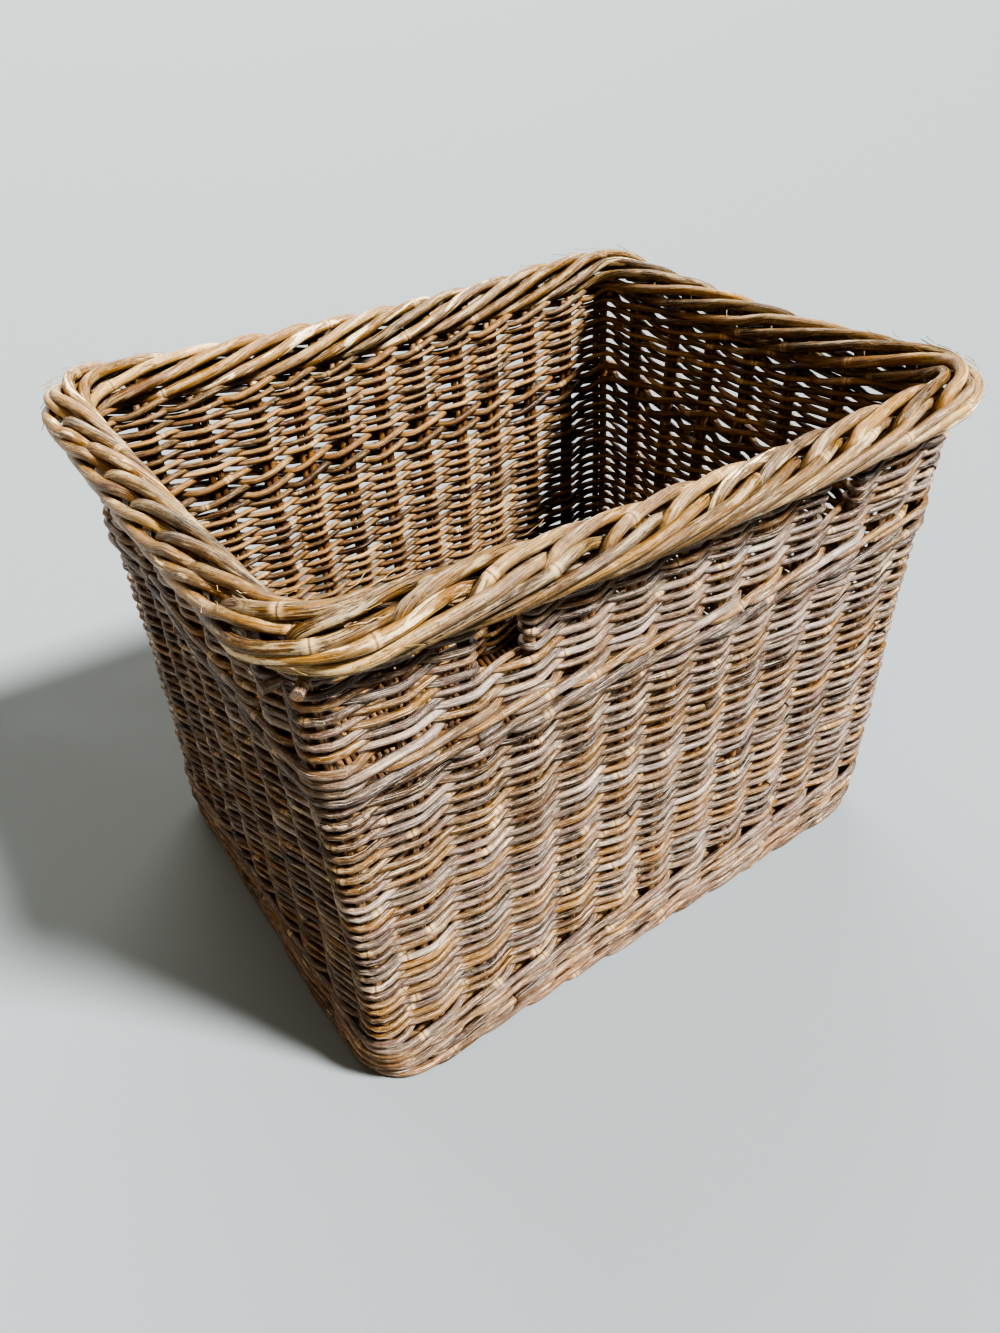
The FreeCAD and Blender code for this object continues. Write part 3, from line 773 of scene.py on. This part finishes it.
def cane(name, weathered, golden, pale=0.5, peeled=0.61, silvering_and_sheen=0.75, shine=0.27):
    """Rattan cane: fibres along the rod, node rings, cross cracks, stains and worn patches, with pale
    flecks and silvered threads that are partly painted highlight.
    """
    material = bpy.data.materials.new(name)
    material.use_nodes = True
    tree = material.node_tree
    tree.nodes.clear()
    n = Nodes(tree)
    rod = n.attribute("rod", "Vector")
    ring = n.math("ABSOLUTE", n.attribute("ring", "Fac"))
    outside = n.attribute("outside", "Fac")
    parts = n.new("ShaderNodeSeparateColor")
    n.put(parts.inputs[0], n.attribute("tint", "Color"))
    lot, light, worn = parts.outputs[0], parts.outputs[1], parts.outputs[2]

    slow = n.noise(rod, (30, 30, 7), 2)
    fibre = n.noise(rod, (1100, 1100, 16), 4, 0.65)
    thread = n.noise(rod, (2600, 2600, 45), 3, 0.6, 7)
    mottle = n.noise(rod, (140, 140, 70), 4, 0.6, 3)
    speck = n.noise(rod, (700, 700, 420), 3, 0.7, 11)
    cross = n.noise(rod, (190, 190, 1100), 2, 0.5, 5)
    patch = n.noise(rod, (180, 180, 24), 4, 0.62, 19)

    pick = n.math("ADD", n.math("MULTIPLY", lot, 0.8), n.span(slow, 0.3, 0.7, -0.12, 0.32), clamp=True)
    body = n.mix(n.span(outside, 0.25, 0.75), n.ramp(pick, golden), n.ramp(pick, weathered))
    shade = n.math("ADD", n.span(light, 0, 1, 0.5, 1.12), n.span(mottle, 0.25, 0.75, -0.3, 0.2))
    shade = n.math("ADD", shade, n.span(fibre, 0.34, 0.66, -0.34, 0.34))
    body = n.mix(1.0, body, shade, "MULTIPLY")
    stain = n.math("MULTIPLY", n.span(mottle, 0.54, 0.7), 0.62)
    body = n.mix(stain, body, rgb(STAIN))
    # Pale silvered threads on the outer side of the cane: partly the real silvering of weathered rattan,
    # partly painted sheen highlight.
    silver_and_sheen = n.math("MULTIPLY", n.span(thread, 0.54, 0.7), n.span(outside, 0.3, 0.8, 0.15, silvering_and_sheen))
    body = n.mix(silver_and_sheen, body, rgb(SILVERED_FIBRE_AND_SHEEN))
    # Pale specks over the cane: partly real flecks in the skin, partly painted highlight glints.
    flecks_and_glints = n.math("MULTIPLY", n.span(speck, 0.32, 0.4, 0.55, 0), n.span(outside, 0.3, 0.8, 0.1, silvering_and_sheen))
    body = n.mix(flecks_and_glints, body, rgb(PALE_FLECK_AND_GLINT))
    bare = n.math("MULTIPLY", n.span(patch, peeled, peeled + 0.07), n.span(worn, 0.5, 1, 0.25, 0.95))
    body = n.mix(n.math("MULTIPLY", bare, pale), body, rgb(PEELED_CORE))
    dots = n.span(speck, 0.58, 0.68, 0, 0.65)
    body = n.mix(dots, body, rgb(DARK_DOT))
    cracks = n.math("MULTIPLY", n.span(cross, 0.66, 0.72), n.span(mottle, 0.42, 0.6, 0.1, 0.6))
    body = n.mix(cracks, body, rgb(CRACK))
    node_line = n.span(ring, 0.0003, 0.0012, 0.55, 0)
    node_glow = n.math("MULTIPLY", n.span(ring, 0.0015, 0.006, 0.75, 0), n.span(mottle, 0.35, 0.6, 0.3, 1))
    body = n.mix(node_glow, body, rgb(RING_GLOW))
    body = n.mix(node_line, body, rgb(RING_LINE))

    rough = n.math("ADD", n.span(bare, 0, 1, shine, shine + 0.25), n.span(fibre, 0.3, 0.7, -0.08, 0.12))
    height = n.math("ADD", n.math("MULTIPLY", fibre, 0.5), n.math("MULTIPLY", thread, 0.25))
    height = n.math("ADD", height, n.math("MULTIPLY", mottle, 0.5))
    height = n.math("SUBTRACT", height, n.math("MULTIPLY", cracks, 0.5))
    height = n.math("SUBTRACT", height, n.math("MULTIPLY", node_line, 0.6))
    bump = n.new("ShaderNodeBump")
    n.put(bump.inputs["Strength"], 0.85)
    n.put(bump.inputs["Distance"], 0.0014)
    n.put(bump.inputs["Height"], height)
    shader = n.new("ShaderNodeBsdfPrincipled")
    n.put(shader.inputs["Base Color"], body)
    n.put(shader.inputs["Roughness"], rough)
    n.put(shader.inputs["Normal"], bump.outputs[0])
    n.put(shader.inputs["Specular IOR Level"], 0.45)
    output = n.new("ShaderNodeOutputMaterial")
    n.put(output.inputs["Surface"], shader.outputs[0])
    return material


def plain(name, colour, roughness):
    """A plain matt colour for the studio floor."""
    material = bpy.data.materials.new(name)
    material.use_nodes = True
    shader = material.node_tree.nodes["Principled BSDF"]
    shader.inputs["Base Color"].default_value = rgb(colour)
    shader.inputs["Roughness"].default_value = roughness
    return material


# Studio and camera.

def make_floor():
    """A pale floor, wide enough to reach the horizon."""
    reach = 30
    corners = [(-reach, -reach, 0), (reach, -reach, 0), (reach, reach, 0), (-reach, reach, 0)]
    mesh = bpy.data.meshes.new("floor")
    mesh.from_pydata(corners, [], [(0, 1, 2, 3)])
    mesh.materials.append(plain("floor", FLOOR, 0.85))
    floor = bpy.data.objects.new("floor", mesh)
    bpy.context.scene.collection.objects.link(floor)


def add_sun(name, place, softness, strength, colour):
    """Add an even light that shines from the place towards the middle of the floor."""
    data = bpy.data.lights.new(name, "SUN")
    data.angle = math.radians(softness)
    data.energy = strength
    data.color = colour
    sun = bpy.data.objects.new(name, data)
    sun.location = place
    sun.rotation_euler = Vector(place).to_track_quat("Z", "Y").to_euler()
    bpy.context.scene.collection.objects.link(sun)


def make_lights():
    """A soft key from the front right, a broad fill and back light, and a room pale low down."""
    add_sun("key", (1.1, -1.7, 2.4), softness=10, strength=8.2, colour=(1.0, 0.97, 0.93))
    add_sun("fill", (-2.2, -0.6, 1.5), softness=60, strength=0.6, colour=(1.0, 0.7, 0.33))
    add_sun("back", (0.9, 2.6, 2.0), softness=60, strength=2.2, colour=(1.0, 0.96, 0.9))
    world = bpy.data.worlds.new("room")
    world.use_nodes = True
    n = Nodes(world.node_tree)
    parts = n.new("ShaderNodeSeparateXYZ")
    n.put(parts.inputs[0], n.new("ShaderNodeTexCoord").outputs["Generated"])
    background = world.node_tree.nodes["Background"]
    background.inputs["Color"].default_value = (1.0, 0.96, 0.9, 1)
    n.put(background.inputs["Strength"], n.span(parts.outputs[2], 0, 0.25, 0.56, 0.17))
    bpy.context.scene.world = world
    bpy.context.scene.view_settings.look = "AgX - Very High Contrast"


CAMERA_PLACE = Vector((-0.483, -0.715, 0.847))
CAMERA_YAW = math.radians(56.84)
CAMERA_PITCH = math.radians(37.0)
CAMERA_ROLL = math.radians(-2.39)


def make_camera():
    """A wide phone lens held above the near left corner, looking down into the basket."""
    data = bpy.data.cameras.new("camera")
    data.sensor_fit = "VERTICAL"
    data.sensor_height = 36
    data.lens = 26.5
    camera = bpy.data.objects.new("camera", data)
    view = Matrix.Rotation(CAMERA_YAW - math.pi / 2, 4, "Z")
    view = view @ Matrix.Rotation(math.pi / 2 - CAMERA_PITCH, 4, "X")
    view = view @ Matrix.Rotation(CAMERA_ROLL, 4, "Z")
    camera.matrix_world = Matrix.Translation(CAMERA_PLACE) @ view
    bpy.context.scene.collection.objects.link(camera)
    bpy.context.scene.camera = camera


def main():
    rng = np.random.default_rng(7)
    skins = {
        "outer_weave": cane("weave_cane", WEATHERED, GOLDEN),
        "wale": cane("wale_cane", WEATHERED, GOLDEN),
        "foot": cane("foot_cane", FOOT_WORN, GOLDEN, shine=0.5),
        "stakes": cane("stake_cane", STAKE_WORN, STAKE_GOLDEN),
        "border": cane("border_cane", BORDER_WORN, BORDER_GOLDEN, pale=0.95, peeled=0.53, silvering_and_sheen=0.28),
        "base": cane("base_cane", BASE_WORN, BASE_GOLDEN, shine=0.55),
    }
    meshes = make_lower_weave(rng) + make_upper_weave(rng) + make_wales(rng)
    meshes += make_stakes(rng) + make_border(rng) + make_base(rng)
    meshes += [make_cut_ends(rng), make_fibres(rng)]
    for mesh in meshes:
        mesh.build(skins[mesh.slot])
    make_floor()
    make_lights()
    make_camera()


main()
